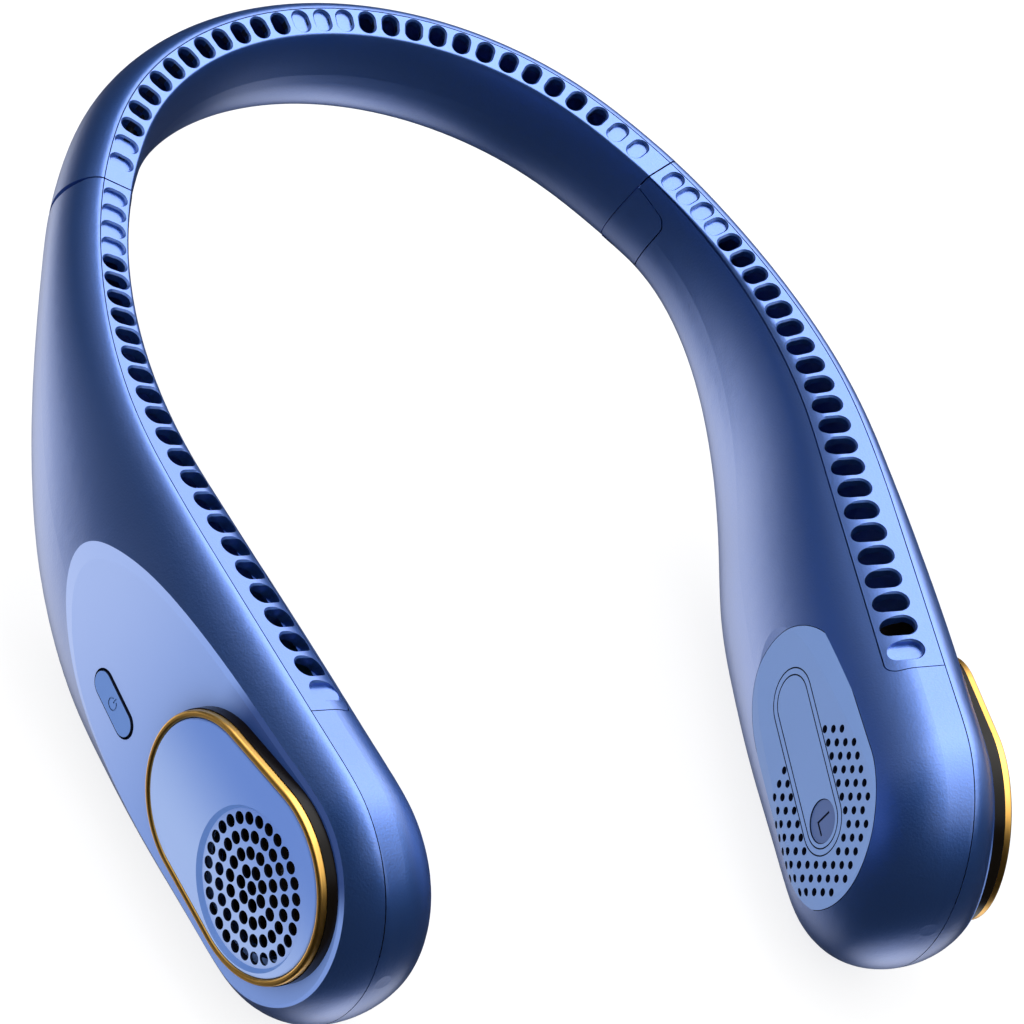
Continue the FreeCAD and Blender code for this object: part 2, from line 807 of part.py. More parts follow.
def cell_ribs():
    bore = cell_bore(dim("cell_radius") + dim("fit_gap"), dim("cell_back") + dim("overrun"),
                     dim("cell_length") + 2 * dim("overrun"))
    ribs = []
    low = -dim("fan_height") - dim("overrun")
    first = dim("cell_back") - dim("rib_inset")
    last = dim("cell_back") - dim("cell_length") + dim("rib_inset")
    for start in (first, last):
        rib = block(fan_frame, (-start, -dim("cut_reach"), low),
                    (dim("rib_thickness"), 2 * dim("cut_reach"), -dim("rib_drop") - low))
        ribs.append(rib.cut(bore))
    return ribs


socket_frame = fan_frame.multiply(shifted(-dim("socket_back"), dim("socket_out"), -top_level))


def socket_seat():
    height = dim("socket_sunk") + dim("socket_height")
    corner = (-dim("socket_block_length") / 2, -dim("socket_block_width") / 2, -dim("overrun"))
    size = (dim("socket_block_length"), dim("socket_block_width"), height + dim("overrun"))
    return block(socket_frame, corner, size)


def socket_hole():
    gap = 2 * dim("fit_gap")
    face = stadium(dim("socket_length") + gap, dim("socket_width") + gap)
    return placed(lifted(face, -dim("overrun"), dim("socket_sunk") + dim("socket_height") + dim("overrun")),
                  socket_frame)


def board_places():
    half_length = dim("board_length") / 2 - dim("board_post_margin")
    half_width = dim("board_width") / 2 - dim("board_post_margin")
    return [(x, y) for x in (-half_length, half_length) for y in (-half_width, half_width)]


def inner_floor():
    return dim("panel_thickness") + dim("wall")


def flange_back():
    return inner_floor() + dim("button_play") + dim("button_flange_height")


def board_front():
    stem_top = flange_back() + dim("button_travel") + dim("switch_reach")
    return stem_top + dim("switch_stem_height") + dim("switch_height")


def button_face(grow):
    width = 2 * dim("button_radius") + 2 * grow
    return stadium(dim("button_apart") + width, width)


def build_arm():
    start = seam - dim("seam_reach") / 2
    stock = arm_stock(start, 0).cut(seam_block(-dim("seam_reach"), dim("seam_gap")))
    ground = Part.makeBox(2 * dim("cut_reach"), 4 * dim("cut_reach"), dim("cut_reach"),
                          Vector(0, -2 * dim("cut_reach"), -dim("cut_reach")))
    hinge_spot = hinge_frame.multiply(shifted(dim("seam_gap"), dim("hinge_out"), 0))
    hinge_spot = hinge_spot.multiply(turned(Vector(0, 0, 1), -dim("open_angle") - dim("open_margin")))
    relief = block(hinge_spot, (-dim("seam_reach"), 0, -dim("fan_height")),
                   (dim("seam_reach"), dim("fan_outer"), 2 * dim("fan_height")))
    body = stock.cut(pad_slab(0, dim("fan_outer"))).cut(ground).cut(relief)
    hollow = arm_stock(start - dim("overrun"), dim("wall"))
    hollow = hollow.cut(facet_slab(-inner_floor(), dim("fan_outer")))
    hollow = hollow.cut(pad_slab(-dim("pad_thickness") - dim("wall"), dim("fan_outer")))
    outer_region = outer_side(arm_runs, dim("parting_gap") / 2)
    inner_region = outer_side(arm_runs, -dim("parting_gap") / 2)

    shell_skin = body.cut(facet_slab(-dim("panel_thickness"), dim("fan_outer")))
    outer_half = shell_skin.common(outer_region)
    intake = pegs(facet_frame, [(0, 0)], dim("intake_radius"), -dim("housing_front"), dim("overrun"))[0]
    hole_face = button_face(dim("button_gap"))
    button_hole = placed(lifted(hole_face, -dim("housing_depth"), dim("overrun")), button_frame)
    posts = pegs(button_frame, board_places(), dim("board_post_radius"), -board_front(), dim("overrun"))
    outer_plain = outer_half.cut(hollow).cut(intake)
    keep("left_outer_shell", add_solid("left_outer_shell", outer_plain))
    outer_control = outer_half.cut(hollow.cut(Part.makeCompound(posts))).cut(intake).cut(button_hole)
    mirrored("right_outer_shell", add_solid("outer_shell_with_button", outer_control))

    panel = body.common(outer_region).common(facet_slab(-dim("panel_thickness"), 0)).cut(intake)
    keep("left_side_panel", add_solid("left_side_panel", panel))
    mirrored("right_side_panel", add_solid("side_panel_with_button", panel.cut(button_hole)))

    bosses = arm_posts() + cell_ribs()
    seat = hollow.common(hinge_boss(hinge_frame, dim("boss_start"), dim("boss_end"), leaf_face))
    flap_recess = flap_prism(dim("flap_gap"), -dim("seam_reach") / 2)
    flap_recess = flap_recess.cut(flap_stock(dim("flap_thickness") + dim("flap_gap")))
    pad_face = egg(dim("pad_big_radius"), dim("pad_small_radius"), dim("pad_apart"))
    pocket_face = egg(dim("pad_big_radius") + dim("fit_gap"), dim("pad_small_radius") + dim("fit_gap"),
                      dim("pad_apart"))
    pocket = placed(lifted(pocket_face, -dim("pad_thickness"), dim("wall")), plate_frame)
    window_back = -dim("pad_thickness") - 2 * dim("wall")
    window = pegs(plate_frame, [(0, 0)], dim("pad_window_radius"), window_back, 0)[0]
    inner_half = body.cut(inner_region)
    cuts = Part.makeCompound([flap_recess, pocket, window, strip_prism(dim("strip_gap"))])
    plain = inner_half.cut(hollow.cut(Part.makeCompound(bosses)))
    keep("left_inner_shell", add_solid("left_inner_shell", plain.cut(cuts).fuse(seat)))
    control = inner_half.cut(hollow.cut(Part.makeCompound(bosses + [socket_seat()])))
    control = control.cut(cuts).fuse(seat).cut(socket_hole())
    mirrored("right_inner_shell", add_solid("inner_shell_with_socket", control))

    strip = inner_half.cut(hollow).common(strip_prism(0))
    pair("vent_grille", add_solid("vent_grille", strip.cut(Part.makeCompound(arm_slots_cut()))))
    plate = inner_half.common(placed(lifted(pad_face, -dim("pad_thickness"), 0), plate_frame))
    build_pad(plate)


# Inner pad: perforated plate with a stadium inlay frame and a side-mark disc
def perforations():
    places = []
    pitch = dim("perforation_pitch")
    for row, first, last in perforation_rows:
        for index in range(int(last - first) + 1):
            for side in sorted({row, -row}):
                places.append(((first + index) * pitch, side * dim("perforation_step")))
    return places


def mark_strokes(letter):
    height = dim("mark_height")
    width = dim("mark_width")
    stroke = dim("mark_stroke")
    depth = dim("mark_depth") + dim("overrun")
    low = -dim("disc_depth") / 2
    corner = Vector(-width / 2, -height / 2, low)
    upright = Part.makeBox(stroke, height, depth, corner)
    if letter == "L":
        return upright.fuse(Part.makeBox(width, stroke, depth, corner))
    bowl_radius = height / 4
    middle = corner + Vector(width - bowl_radius, height - bowl_radius, 0)
    bowl = Part.makeCylinder(bowl_radius, depth, middle)
    bowl = bowl.cut(Part.makeCylinder(bowl_radius - stroke, depth, middle))
    back = middle - Vector(bowl_radius, bowl_radius, 0)
    bowl = bowl.cut(Part.makeBox(bowl_radius, 2 * bowl_radius, depth, back))
    bars = [Part.makeBox(width - bowl_radius, stroke, depth, corner + Vector(0, level, 0))
            for level in (height - stroke, height - 2 * bowl_radius)]
    leg = Part.makeBox(stroke, math.hypot(height / 2, width / 2), depth)
    leg.rotate(Vector(), Vector(0, 0, 1), math.degrees(math.atan2(width / 2, height / 2)))
    leg.translate(corner + Vector(width - stroke, 0, 0))
    return upright.multiFuse([bowl] + bars + [leg]).mirror(Vector(), Vector(1, 0, 0))


def inlay_face(grow):
    outer = dim("inlay_radius") + grow
    inner = dim("inlay_radius") - dim("inlay_width") - grow
    face = egg(outer, outer, dim("inlay_apart")).cut(egg(inner, inner, dim("inlay_apart")))
    face.translate(Vector(dim("inlay_ahead"), 0, 0))
    return face


def build_pad(plate):
    ahead = dim("inlay_ahead")
    channel = lifted(inlay_face(dim("inlay_gap")), -dim("inlay_depth"), dim("overrun"))
    disc_floor = -dim("disc_depth") - dim("mark_depth")
    cuts = [placed(channel, plate_frame)]
    cuts += pegs(plate_frame, [(ahead, 0)], dim("disc_radius") + dim("fit_gap"), disc_floor, dim("overrun"))
    back = -2 * dim("pad_thickness")
    cuts += pegs(plate_frame, perforations(), dim("perforation_radius"), back, dim("overrun"))
    pair("inner_pad", add_solid("inner_pad", plate.cut(Part.makeCompound(cuts))))
    pair("pad_inlay", add_solid("pad_inlay", lifted(inlay_face(0), -dim("inlay_depth"), 0), plate_frame))
    for side, letter in (("left", "L"), ("right", "R")):
        disc = Part.makeCylinder(dim("disc_radius"), dim("disc_depth"), Vector(0, 0, disc_floor))
        strokes = mark_strokes(letter)
        sunk = dim("disc_depth") / 2 - 2 * dim("mark_depth")
        strokes.translate(Vector(dim("mark_ahead"), dim("mark_up"), sunk))
        frame = plate_frame.multiply(shifted(ahead, 0, 0))
        feature = add_solid("mark_disc_" + letter, disc.cut(strokes), frame)
        if side == "left":
            keep("left_mark_disc", feature)
        else:
            mirrored("right_mark_disc", feature)


# Intake cap: dark standoff, gilt ring and a lid with a dished, drilled grille
def grille_places():
    places = [(0, 0, dim("hole_middle_radius"))]
    for ring in range(1, grille_rings + 1):
        count = holes_per_ring * ring
        radius = dim("hole_middle_radius") - ring * dim("hole_shrink")
        for index in range(count):
            angle = math.radians(360 * index / count)
            reach = ring * dim("hole_ring_step")
            places.append((reach * math.cos(angle), reach * math.sin(angle), radius))
    return places


def build_cap():
    gasket_outer = cap_face(dim("gasket_inset"))
    gasket = gasket_outer.cut(cap_face(dim("gasket_inset") + dim("gasket_width")))
    pair("cap_standoff", add_solid("cap_standoff", lifted(gasket, 0, dim("gasket_height")), cap_frame))
    ring = cap_face(0).cut(cap_face(dim("ring_width")))
    ring_top = dim("gasket_height") + dim("ring_height")
    ring_solid = lifted(ring, dim("gasket_height"), ring_top)
    ring_solid = rounded(ring_solid, dim("ring_edge"), ring_top)
    pair("cap_ring", add_solid("cap_ring", ring_solid, cap_frame))
    lid_top = dim("gasket_height") + dim("cap_thickness")
    lid = lifted(cap_face(dim("ring_width") + dim("cap_gap")), dim("gasket_height"), lid_top)
    lid = rounded(lid, dim("cap_edge"), lid_top)
    dish = Part.makeCone(dim("dish_radius") - dim("dish_slope"), dim("dish_radius"), dim("dish_depth"),
                         Vector(dim("dish_ahead"), dim("dish_down"), lid_top - dim("dish_depth")))
    corner = Vector(dim("dish_ahead"), dim("dish_down"), dim("gasket_height") - dim("dish_depth"))
    holes = [Part.makeCylinder(radius, 2 * dim("cap_thickness"), corner + Vector(x, y, 0))
             for x, y, radius in grille_places()]
    pair("intake_cap", add_solid("intake_cap", lid.cut(dish).cut(Part.makeCompound(holes)), cap_frame))


# Fan housing: a drum with an outlet toward the vents, carrying the bearing and the stator
def build_housing():
    back = -dim("housing_front") - dim("housing_depth")
    radius = "dims.housing_radius"
    wall = "dims.housing_wall"
    depth = "dims.housing_depth"
    inside = "dims.housing_depth - dims.housing_wall + dims.overrun"
    outlet_width = "dims.housing_radius + dims.housing_wall - dims.outlet_low"
    low = -dim("housing_radius") - dim("housing_wall")
    floor = back + dim("housing_wall")
    drum = cylinder("drum", f"{radius} + {wall}", depth, shifted(0, 0, back), facet_frame)
    duct_place = shifted(-dim("outlet_length"), low, back)
    duct = box("duct", ("dims.outlet_length", outlet_width, depth), duct_place, facet_frame)
    drum_space = cylinder("drum_space", radius, inside, shifted(0, 0, floor), facet_frame)
    space_sizes = ("dims.outlet_length + dims.overrun", f"{outlet_width} - 2 * {wall}", inside)
    space_place = shifted(-dim("outlet_length") - dim("overrun"), low + dim("housing_wall"), floor)
    duct_space = box("duct_space", space_sizes, space_place, facet_frame)
    hollow = cut("housing_hollow", fuse("housing_stock", [drum, duct]),
                 fuse("housing_space", [drum_space, duct_space]))
    boss = cylinder("motor_boss", "dims.motor_boss_radius", "dims.motor_boss_height", shifted(0, 0, floor),
                    facet_frame)
    seat = cylinder("bearing_seat", "dims.bearing_radius", "dims.motor_boss_height + dims.overrun",
                    shifted(0, 0, floor), facet_frame)
    with_boss = cut("housing_bored", fuse("housing_boss", [hollow, boss]), seat)
    screw_bores = []
    for index, (x, y) in enumerate(post_places()):
        screw_bores.append(cylinder(f"housing_screw_bore_{index}", "dims.screw_radius + dims.fit_gap",
                                    "3 * dims.housing_wall", shifted(x, y, back - dim("housing_wall")),
                                    facet_frame))
    pair("fan_housing", cut("housing", with_boss, fuse("housing_screw_bores", screw_bores)))

    length = "dims.bearing_length"
    sleeve = cylinder("sleeve", "dims.bearing_radius", length, shifted(0, 0, floor), facet_frame)
    bore = cylinder("sleeve_bore", "dims.shaft_radius + dims.running_gap", f"{length} + 2 * dims.overrun",
                    shifted(0, 0, floor - dim("overrun")), facet_frame)
    pair("motor_bearing", cut("motor_bearing_sleeve", sleeve, bore))

    screws = []
    for index, (x, y) in enumerate(post_places()):
        head = cylinder(f"screw_head_{index}", "dims.screw_head_radius", "dims.screw_head_height",
                        shifted(x, y, floor), facet_frame)
        shank = cylinder(f"screw_shank_{index}", "dims.screw_radius", "dims.screw_length",
                         shifted(x, y, floor - dim("screw_length")), facet_frame)
        screws.append(fuse(f"screw_{index}", [head, shank]))
    joined = doc.addObject("Part::Compound", "fan_screws")
    joined.Links = screws
    pair("fan_screws", joined)


# Sketches for turned and patterned bodies, every corner tied to named sizes
def sketch_on(body, role, name):
    plane = next(item for item in body.Origin.OriginFeatures if item.Role == role)
    sketch = body.newObject("Sketcher::SketchObject", name)
    sketch.AttachmentSupport = (plane, [""])
    sketch.MapMode = "FlatFace"
    return sketch


def polygon(sketch, corners):
    guess = [Vector(index + 1, (index + 1) ** 2, 0) for index in range(len(corners))]
    count = len(corners)
    for index in range(count):
        sketch.addGeometry(Part.LineSegment(guess[index], guess[(index + 1) % count]), False)
    for index in range(count):
        sketch.addConstraint(Sketcher.Constraint("Coincident", index, 2, (index + 1) % count, 1))
    for index, (across, along) in enumerate(corners):
        for kind, size in (("DistanceX", across), ("DistanceY", along)):
            place = guess[index].x if kind == "DistanceX" else guess[index].y
            number = sketch.addConstraint(Sketcher.Constraint(kind, -1, 1, index, 1, place))
            sketch.setExpression(f"Constraints[{number}]", size)


def circle(sketch, radius):
    index = sketch.addGeometry(Part.Circle(Vector(), Vector(0, 0, 1), dim("overrun")), False)
    sketch.addConstraint(Sketcher.Constraint("Coincident", index, 3, -1, 1))
    number = sketch.addConstraint(Sketcher.Constraint("Radius", index, dim("overrun")))
    sketch.setExpression(f"Constraints[{number}]", radius)


def pad_from(body, sketch, name, length):
    feature = body.newObject("PartDesign::Pad", name)
    feature.Profile = sketch
    feature.setExpression("Length", length)
    return feature


def pattern(body, feature, name, count):
    axis = next(item for item in body.Origin.OriginFeatures if item.Role == "Z_Axis")
    copies = body.newObject("PartDesign::PolarPattern", name)
    copies.Originals = [feature]
    copies.Axis = (axis, [""])
    copies.Angle = 360
    copies.Occurrences = count
    body.Tip = copies
    return copies


def build_impeller():
    floor = dim("housing_wall") - dim("housing_front") - dim("housing_depth")
    hub_radius = "(dims.stator_radius + dims.air_gap + dims.magnet_wall + dims.hub_wall)"
    body = doc.addObject("PartDesign::Body", "impeller_body")
    plate = sketch_on(body, "XY_Plane", "impeller_plate_sketch")
    circle(plate, "dims.impeller_radius")
    circle(plate, f"{hub_radius} - dims.hub_wall")
    pad_from(body, plate, "impeller_plate_pad", "dims.impeller_plate")
    cup = sketch_on(body, "XY_Plane", "hub_wall_sketch")
    circle(cup, hub_radius)
    circle(cup, f"{hub_radius} - dims.hub_wall")
    pad_from(body, cup, "hub_wall_pad", "dims.hub_height")
    lid = sketch_on(body, "XY_Plane", "hub_lid_sketch")
    lid.setExpression("AttachmentOffset.Base.z", "dims.hub_height - dims.hub_wall")
    circle(lid, hub_radius)
    circle(lid, "dims.shaft_radius")
    pad_from(body, lid, "hub_lid_pad", "dims.hub_wall")
    ring = sketch_on(body, "XY_Plane", "shroud_sketch")
    ring.setExpression("AttachmentOffset.Base.z", "dims.impeller_height - dims.shroud_height")
    circle(ring, "dims.impeller_radius")
    circle(ring, "dims.impeller_radius - dims.shroud_width")
    blade = sketch_on(body, "XY_Plane", "blade_sketch")
    outer = "(dims.impeller_radius - dims.shroud_width / 4)"
    tip_x = f"{outer} * cos(dims.blade_lean * 1 deg)"
    tip_y = f"{outer} * sin(dims.blade_lean * 1 deg)"
    polygon(blade, [("dims.blade_inner_radius", "dims.fit_gap"), (tip_x, tip_y),
                    (tip_x, f"{tip_y} + dims.blade_thickness"),
                    ("dims.blade_inner_radius", "dims.fit_gap + dims.blade_thickness")])
    blade_pad = pad_from(body, blade, "blade_pad", "dims.impeller_height")
    pattern(body, blade_pad, "blade_pattern", blade_count)
    pad_from(body, ring, "shroud_pad", "dims.shroud_height")
    body.Placement = facet_frame.multiply(shifted(0, 0, floor + dim("impeller_lift")))
    pair("impeller", body)

    level = floor + dim("impeller_lift")
    outer_magnet = "dims.stator_radius + dims.air_gap + dims.magnet_wall"
    height = "dims.magnet_height"
    magnet = cylinder("magnet_ring_stock", outer_magnet, height, shifted(0, 0, level), facet_frame)
    inner_magnet = "dims.stator_radius + dims.air_gap"
    space = cylinder("magnet_ring_space", inner_magnet, f"{height} + 2 * dims.overrun",
                     shifted(0, 0, level - dim("overrun")), facet_frame)
    pair("magnet_ring", cut("magnet_ring", magnet, space))
    shaft_top = level + dim("hub_height")
    shaft = cylinder("motor_shaft_rod", "dims.shaft_radius", "dims.shaft_length",
                     shifted(0, 0, shaft_top - dim("shaft_length")), facet_frame)
    pair("motor_shaft", shaft)


def build_stator():
    floor = dim("housing_wall") - dim("housing_front") - dim("housing_depth")
    body = doc.addObject("PartDesign::Body", "stator_body")
    yoke = sketch_on(body, "XY_Plane", "stator_yoke_sketch")
    circle(yoke, "dims.motor_boss_radius + dims.stator_yoke")
    circle(yoke, "dims.motor_boss_radius + dims.seat_gap / 2")
    pad_from(body, yoke, "stator_yoke_pad", "dims.stator_height")
    tooth = sketch_on(body, "XY_Plane", "stator_tooth_sketch")
    start = "(dims.motor_boss_radius + dims.stator_yoke / 2)"
    neck = "(dims.stator_radius - dims.stator_shoe)"
    end = "(dims.stator_radius - dims.air_gap)"
    near = "dims.fit_gap"
    polygon(tooth, [(start, near), (neck, near), (end, near), (end, f"{near} + dims.stator_tooth"),
                    (neck, f"{near} + dims.stator_tooth"), (start, f"{near} + dims.stator_tooth")])
    tooth_pad = pad_from(body, tooth, "stator_tooth_pad", "dims.stator_height")
    pattern(body, tooth_pad, "stator_tooth_pattern", stator_teeth)
    body.Placement = facet_frame.multiply(shifted(0, 0, floor + dim("stator_lift")))
    pair("motor_stator", body)


def build_cell():
    place = shifted(-dim("cell_back"), dim("cell_out"), -dim("cell_drop"))
    along = place.multiply(turned(Vector(0, 1, 0), 90))
    can_length = "dims.cell_length - dims.cell_cap_height"
    can = cylinder("cell_can", "dims.cell_radius", can_length, along, fan_frame)
    button = cylinder("cell_button", "dims.cell_cap_radius", "dims.cell_length", along, fan_frame)
    pair("battery_cell", fuse("battery_cell", [can, button]))


# Controls of the right arm: button, switch, board and charging socket
def build_controls():
    flange_low = -flange_back()
    flange_high = flange_low + dim("button_flange_height")
    body = lifted(button_face(0), flange_high, dim("button_proud"))
    body = rounded(body, dim("button_proud") / 2, dim("button_proud"))
    flange = lifted(button_face(dim("button_flange")), flange_low, flange_high)
    symbol_low = dim("button_proud") - dim("symbol_depth")
    ring = Part.makeCylinder(dim("symbol_radius"), dim("overrun"), Vector(0, 0, symbol_low))
    ring = ring.cut(Part.makeCylinder(dim("symbol_radius") - dim("symbol_stroke"), dim("overrun"),
                                      Vector(0, 0, symbol_low)))
    notch = Part.makeBox(3 * dim("symbol_stroke"), 2 * dim("symbol_radius"), dim("overrun"),
                         Vector(-1.5 * dim("symbol_stroke"), -2 * dim("symbol_radius"), symbol_low))
    bar = Part.makeBox(dim("symbol_stroke"), dim("symbol_radius"), dim("overrun"),
                       Vector(-dim("symbol_stroke") / 2, -1.25 * dim("symbol_radius"), symbol_low))
    button = body.fuse(flange).cut(ring.cut(notch)).cut(bar)
    mirrored("power_button", add_solid("power_button_source", button, button_frame))

    stem_top = flange_low - dim("button_travel") - dim("switch_reach")
    stem_low = stem_top - dim("switch_stem_height")
    half = -dim("switch_side") / 2
    stem = cylinder("switch_stem", "dims.switch_stem_radius", "dims.switch_stem_height",
                    shifted(0, 0, stem_low), button_frame)
    case = box("switch_case", ("dims.switch_side", "dims.switch_side", "dims.switch_height"),
               shifted(half, half, stem_low - dim("switch_height")), button_frame)
    mirrored("tact_switch", fuse("tact_switch_source", [stem, case]))
    board_back = -board_front() - dim("board_thickness")
    board_place = shifted(-dim("board_length") / 2, -dim("board_width") / 2, board_back)
    board_sizes = ("dims.board_length", "dims.board_width", "dims.board_thickness")
    mirrored("control_board", box("board_plate", board_sizes, board_place, button_frame))

    shell = lifted(stadium(dim("socket_length"), dim("socket_width")), 0, dim("socket_height"))
    thin = 2 * dim("socket_shell")
    space = lifted(stadium(dim("socket_length") - thin, dim("socket_width") - thin), -dim("overrun"),
                   dim("socket_height") - dim("socket_shell"))
    tongue_height = dim("socket_height") - dim("socket_shell")
    blade = Part.makeBox(dim("tongue_width"), dim("tongue_thickness"), tongue_height,
                         Vector(-dim("tongue_width") / 2, -dim("tongue_thickness") / 2, dim("socket_shell")))
    socket = shell.cut(space).fuse(blade)
    frame = socket_frame.multiply(shifted(0, 0, dim("socket_sunk")))
    mirrored("charging_socket", add_solid("charging_socket_source", socket, frame))


build_neck()
build_wiring()
build_hinge()
build_flap()
build_arm()
build_cap()
build_housing()
build_impeller()
build_stator()
build_cell()
build_controls()
doc.recompute()

for item in doc.Objects:
    if "Invalid" in item.State or "Error" in item.State:
        raise RuntimeError(f"{item.Name} did not compute: {item.State}")
for label, feature in solids.items():
    shape = feature.Shape
    if shape.isNull() or not shape.isValid() or not shape.Solids:
        raise RuntimeError(f"{label} has no valid solid")

os.makedirs("parts", exist_ok=True)
for label, feature in solids.items():
    feature.Shape.exportStep(f"parts/{label}.step")
    print(label, len(feature.Shape.Solids), round(feature.Shape.Volume, 1))
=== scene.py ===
# Electric neck fan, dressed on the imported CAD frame. Everything is in metres.
from math import pi, radians
import bpy
from mathutils import Euler, Matrix, Vector

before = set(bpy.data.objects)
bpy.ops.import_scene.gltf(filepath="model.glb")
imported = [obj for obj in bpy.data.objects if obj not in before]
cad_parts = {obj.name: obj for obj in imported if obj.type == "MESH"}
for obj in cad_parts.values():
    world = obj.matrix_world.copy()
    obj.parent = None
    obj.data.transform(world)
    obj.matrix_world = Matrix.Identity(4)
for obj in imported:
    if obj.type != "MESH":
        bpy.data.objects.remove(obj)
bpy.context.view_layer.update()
scene = bpy.context.scene
scene.view_settings.view_transform = "Standard"
bpy.ops.object.select_all(action="DESELECT")
print("frame loaded:", len(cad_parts), "CAD nodes")


# an sRGB hex colour as the linear colour that Blender's sockets take
def linear(hexColour):
    channels = [int(hexColour[i:i + 2], 16) / 255 for i in (1, 3, 5)]
    return [c / 12.92 if c <= 0.04045 else ((c + 0.055) / 1.055) ** 2.4 for c in channels] + [1]


# adds one shader node: socket values, links from other nodes' outputs, and plain settings
def addNode(tree, kind, values={}, links={}, **settings):
    node = tree.nodes.new("ShaderNode" + kind)
    for name, value in settings.items():
        setattr(node, name, value)
    for socket, value in values.items():
        node.inputs[socket].default_value = value
    for socket, source in links.items():
        tree.links.new(source, node.inputs[socket])
    return node


# a material whose node tree is still empty
def newMaterial(name):
    material = bpy.data.materials.new(name)
    material.use_nodes = True
    material.node_tree.nodes.clear()
    return material


# camera, fitted on the photograph: about 1.2 m away on a long lens
cameraView = {"location": (-0.567785, -0.673429, 0.849013), "turn": (43.8524, -19.607, -21.6105),
              "lens": 223.95, "sensor": 36}
cameraTurn = Euler([radians(angle) for angle in cameraView["turn"]])
cameraData = bpy.data.cameras.new("photoCamera")
cameraData.lens = cameraView["lens"]
cameraData.sensor_width = cameraView["sensor"]
camera = bpy.data.objects.new("photoCamera", cameraData)
camera.location = cameraView["location"]
camera.rotation_euler = cameraTurn
scene.collection.objects.link(camera)
scene.camera = camera

# soft boxes, each from one end to the other: ways point from the fan, right, up and towards the camera
lamps = {
    "overheadStrip": {"ends": ((0.22, 0.83, 0.51), (0.46, 0.47, 0.75)), "width": 0.36, "radiance": 1.4},
    "topBox": {"ends": ((0.08, 0.98, 0.16), (0.26, 0.95, 0.16)), "width": 0.26, "radiance": 3.0},
    "backBox": {"ends": ((0.42, 0.76, -0.5), (0.62, 0.71, -0.32)), "width": 0.30, "radiance": 1.6},
    "rightBox": {"ends": ((0.70, 0.69, 0.1), (0.92, 0.38, -0.05)), "width": 0.36, "radiance": 1.0},
    "leftTopStrip": {"ends": ((-0.42, 0.85, 0.33), (0.0, 0.95, 0.31)), "width": 0.3, "radiance": 0.9},
}
lampDistance = 1.2
aim = Vector((0, 0, 0.03))  # about the middle of the fan
cameraAxes = cameraTurn.to_matrix()
for name, lamp in lamps.items():
    start, end = [cameraAxes @ Vector(way).normalized() * lampDistance for way in lamp["ends"]]
    data = bpy.data.lights.new(name, "AREA")
    data.shape = "RECTANGLE"
    data.size, data.size_y = (end - start).length, lamp["width"]
    data.energy = lamp["radiance"] * pi * data.size * data.size_y
    away = ((start + end) / 2).normalized()
    along = (end - start).normalized()
    box = bpy.data.objects.new(name, data)
    turn = Matrix((along, away.cross(along), away)).transposed()
    box.matrix_world = Matrix.Translation(aim + away * lampDistance) @ turn.to_4x4()
    box.visible_glossy = False  # the surround below gives the reflections
    scene.collection.objects.link(box)

# surround: even light on the matt pieces, while reflections find a dim room with soft white glows
# a glow starts at its wide or slim edge and is full in its middle, both cosines; ways are as for the boxes
surround = {"seen": 1.0, "even": 0.95, "room": 0.02, "wide": 0.788, "slim": 0.927, "full": 0.9994}
glows = {
    "aboveEye": {"way": (0.29, 0.33, 0.90), "level": 0.44, "edge": "wide"},
    "overheadFront": {"way": (0.24, 0.80, 0.55), "level": 0.85, "edge": "wide"},
    "rightFront": {"way": (0.80, 0.31, 0.51), "level": 1.57, "edge": "wide"},
    "leftFrontTop": {"way": (-0.24, 0.84, 0.49), "level": 0.14, "edge": "wide"},
    "rightFrontTop": {"way": (0.53, 0.72, 0.45), "level": 0.45, "edge": "wide"},
    "overhead": {"way": (0.07, 0.92, 0.38), "level": 0.52, "edge": "wide"},
    "leftTop": {"way": (-0.45, 0.84, 0.31), "level": 0.33, "edge": "wide"},
    "overheadRight": {"way": (0.39, 0.88, 0.27), "level": 0.80, "edge": "wide"},
    "rightTop": {"way": (0.53, 0.85, -0.01), "level": 1.55, "edge": "wide"},
    "rightTopBehind": {"way": (0.61, 0.74, -0.29), "level": 1.0, "edge": "wide"},
    "rightBehind": {"way": (0.79, 0.47, -0.39), "level": 0.36, "edge": "wide"},
    "left": {"way": (-0.95, 0.29, 0.07), "level": 0.14, "edge": "slim"},
    "leftUpBehind": {"way": (-0.90, 0.19, -0.38), "level": 0.24, "edge": "slim"},
    "leftEdge": {"way": (-0.83, -0.01, -0.55), "level": 0.64, "edge": "slim"},
    "leftTopBehind": {"way": (-0.71, 0.25, -0.66), "level": 0.30, "edge": "slim"},
    "leftBehind": {"way": (-0.67, -0.15, -0.73), "level": 0.23, "edge": "slim"},
    "leftLowBehind": {"way": (-0.66, -0.43, -0.62), "level": 0.36, "edge": "slim"},
    "behind": {"way": (-0.55, 0.07, -0.83), "level": 0.95, "edge": "slim"},
    "under": {"way": (-0.07, -0.81, -0.58), "level": 0.75, "edge": "slim"},
    "lowBehind": {"way": (0.18, -0.66, -0.73), "level": 1.0, "edge": "slim"},
}
world = bpy.data.worlds.new("studioSurround")
world.use_nodes = True
tree = world.node_tree
tree.nodes.clear()
path = addNode(tree, "LightPath").outputs
ray = addNode(tree, "TexCoord").outputs["Generated"]
mirrored = None
